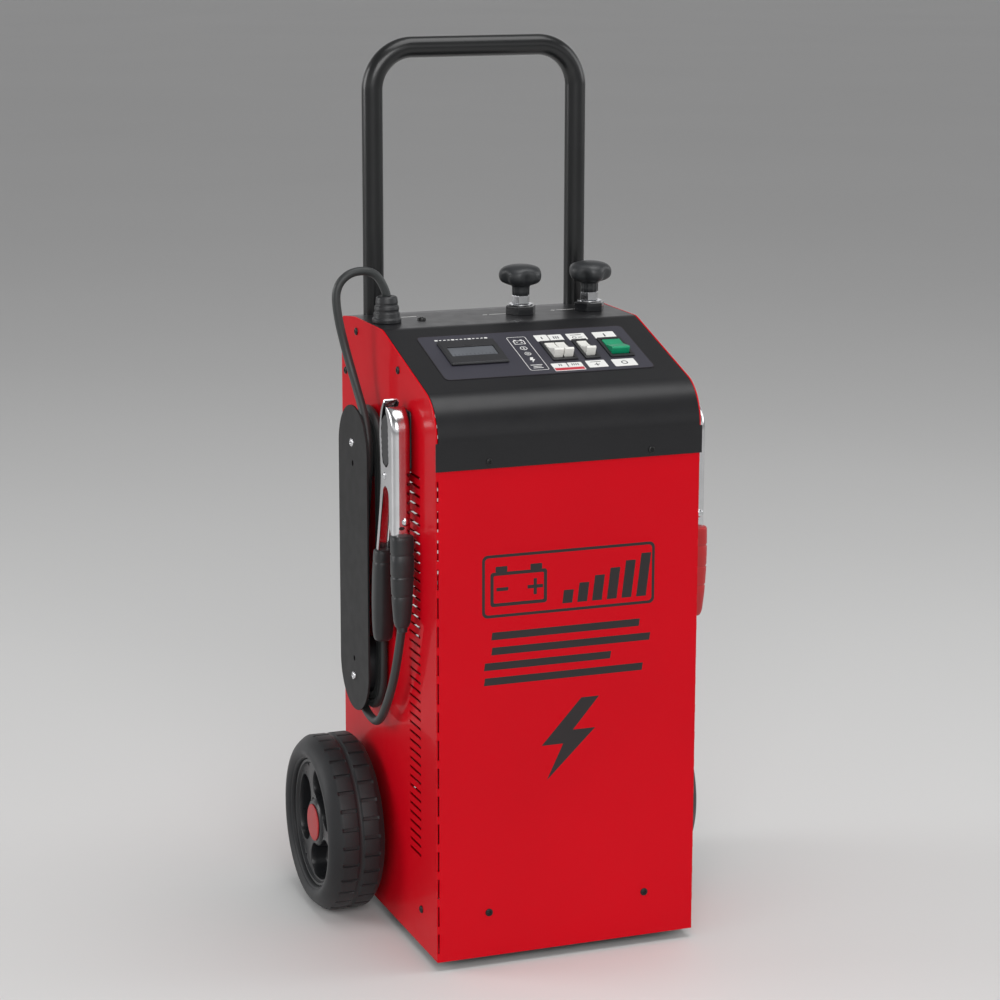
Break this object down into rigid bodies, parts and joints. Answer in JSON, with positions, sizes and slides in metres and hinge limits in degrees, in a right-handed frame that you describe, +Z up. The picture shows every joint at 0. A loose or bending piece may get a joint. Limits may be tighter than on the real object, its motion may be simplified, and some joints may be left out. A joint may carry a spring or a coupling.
{
  "type": "wheeled battery starter charger",
  "caption": "Upright wheeled battery charger and engine starter with sheet-metal cabinet, hooped push handle, screw terminals, rocker switches and parked battery clamps.",
  "frame": {"origin": "on the floor under the middle of the machine, measured without its lead", "axes": "+Z up, front panel faces -Y, +X to the right of someone facing the front panel"},
  "size_m": [0.433, 0.331, 0.947],
  "materials": {
    "red_paint": "gloss",
    "black_hood_paint": "semi-gloss",
    "black_gloss_tube": "gloss",
    "zinc_plate": "satin",
    "tyre_rubber": "matt",
    "hub_plastic": "satin",
    "red_plastic": "satin",
    "overlay_film": "matt",
    "black_plastic": "satin",
    "meter_glass": "gloss",
    "white_plastic": "gloss",
    "green_plastic": "gloss",
    "chrome_parts": "polished",
    "tidy_paint": "matt",
    "lead_rubber": "satin",
    "black_grip_vinyl": "satin",
    "red_grip_vinyl": "satin",
    "core_steel": "matt",
    "copper_winding": "gloss",
    "heatsink_aluminium": "satin",
    "diode_metal": "satin",
    "board_green": "satin",
    "screw_black": "gloss"
  },
  "bodies": {
    "cabinet": {"body_wrap": "red_paint", "base_pan": "black_hood_paint", "rear_panel": "red_paint", "top_hood": "black_hood_paint", "handle": "black_gloss_tube", "handle_clamps": "zinc_plate", "axle": "zinc_plate", "axle_brackets": "zinc_plate", "push_nuts": "zinc_plate", "panel_overlay": "overlay_film", "meter_bezel": "black_plastic", "meter_window": "meter_glass", "switch_frame_dual": "black_plastic", "switch_frame_mode": "black_plastic", "switch_frame_power": "black_plastic", "terminal_bases": "black_plastic", "terminal_studs": "zinc_plate", "lead_glands": "black_plastic", "mains_gland": "black_plastic", "tidy_plates": "tidy_paint", "tidy_bobbins": "black_plastic", "tidy_screws": "chrome_parts", "lead_coil": "lead_rubber", "lead_upper": "lead_rubber", "lead_lower": "lead_rubber", "clamp_black_jaw_front": "chrome_parts", "clamp_black_grip_front": "black_grip_vinyl", "clamp_black_pivot_pin": "chrome_parts", "clamp_black_spring": "chrome_parts", "clamp_red_jaw_front": "chrome_parts", "clamp_red_grip_front": "red_grip_vinyl", "clamp_red_pivot_pin": "chrome_parts", "clamp_red_spring": "chrome_parts", "clamp_lugs": "black_plastic", "transformer_core": "core_steel", "transformer_windings": "copper_winding", "rectifier_heatsink": "heatsink_aluminium", "rectifier_diodes": "diode_metal", "control_board": "board_green", "case_screws": "screw_black"},
    "wheel_left": {"tyre_left": "tyre_rubber", "wheel_hub_left": "hub_plastic", "hub_cap_left": "red_plastic"},
    "wheel_right": {"tyre_right": "tyre_rubber", "wheel_hub_right": "hub_plastic", "hub_cap_right": "red_plastic"},
    "rocker_rate_low": {"rocker_rate_low": "white_plastic"},
    "rocker_rate_high": {"rocker_rate_high": "white_plastic"},
    "rocker_mode": {"rocker_mode": "white_plastic"},
    "rocker_power": {"rocker_power": "green_plastic"},
    "terminal_washer_left": {"terminal_washer_left": "chrome_parts"},
    "terminal_knob_left": {"terminal_knob_left": "black_plastic", "terminal_nut_left": "chrome_parts"},
    "terminal_washer_right": {"terminal_washer_right": "chrome_parts"},
    "terminal_knob_right": {"terminal_knob_right": "black_plastic", "terminal_nut_right": "chrome_parts"},
    "clamp_black_lever": {"clamp_black_jaw_rear": "chrome_parts", "clamp_black_grip_rear": "black_grip_vinyl"},
    "clamp_red_lever": {"clamp_red_jaw_rear": "chrome_parts", "clamp_red_grip_rear": "red_grip_vinyl"}
  },
  "joints": [
    {"name": "wheel_left_spin", "type": "hinge", "parent": "cabinet", "child": "wheel_left", "pos_m": [-0.185, 0.06895, 0.0965], "axis": [1, 0, 0], "continuous": true},
    {"name": "wheel_right_spin", "type": "hinge", "parent": "cabinet", "child": "wheel_right", "pos_m": [0.185, 0.06895, 0.0965], "axis": [1, 0, 0], "continuous": true},
    {"name": "rocker_rate_low_tilt", "type": "hinge", "parent": "cabinet", "child": "rocker_rate_low", "pos_m": [0.021, -0.05946, 0.62883], "axis": [1, 0, 0], "range_deg": [0, 20]},
    {"name": "rocker_rate_high_tilt", "type": "hinge", "parent": "cabinet", "child": "rocker_rate_high", "pos_m": [0.0326, -0.05946, 0.62883], "axis": [1, 0, 0], "range_deg": [0, 20]},
    {"name": "rocker_mode_tilt", "type": "hinge", "parent": "cabinet", "child": "rocker_mode", "pos_m": [0.0575, -0.05946, 0.62883], "axis": [1, 0, 0], "range_deg": [0, 20]},
    {"name": "rocker_power_tilt", "type": "hinge", "parent": "cabinet", "child": "rocker_power", "pos_m": [0.0911, -0.05946, 0.62883], "axis": [1, 0, 0], "range_deg": [0, 20]},
    {"name": "terminal_left_rise", "type": "slide", "parent": "cabinet", "child": "terminal_washer_left", "axis": [0, 0, 1], "range_m": [0, 0.0061]},
    {"name": "terminal_left_turn", "type": "hinge", "parent": "terminal_washer_left", "child": "terminal_knob_left", "pos_m": [0.031, 0.06155, 0.69], "axis": [0, 0, 1], "range_deg": [0, 1440]},
    {"name": "terminal_right_rise", "type": "slide", "parent": "cabinet", "child": "terminal_washer_right", "axis": [0, 0, 1], "range_m": [0, 0.0061]},
    {"name": "terminal_right_turn", "type": "hinge", "parent": "terminal_washer_right", "child": "terminal_knob_right", "pos_m": [0.1114, 0.06155, 0.69], "axis": [0, 0, 1], "range_deg": [0, 1440]},
    {"name": "clamp_black_squeeze", "type": "hinge", "parent": "cabinet", "child": "clamp_black_lever", "pos_m": [-0.15965, -0.07085, 0.5126], "axis": [-1, 0, 0], "range_deg": [0, 11], "stiffness_Nm_per_rad": 4, "springref_deg": -20.05},
    {"name": "clamp_red_squeeze", "type": "hinge", "parent": "cabinet", "child": "clamp_red_lever", "pos_m": [0.171, -0.07085, 0.4956], "axis": [-1, 0, 0], "range_deg": [0, 11], "stiffness_Nm_per_rad": 4, "springref_deg": -20.05}
  ],
  "couplings": [
    {"joint": "terminal_left_rise", "follows": "terminal_left_turn", "m_per_rad": 0.00023873},
    {"joint": "terminal_right_rise", "follows": "terminal_right_turn", "m_per_rad": 0.00023873}
  ]
}
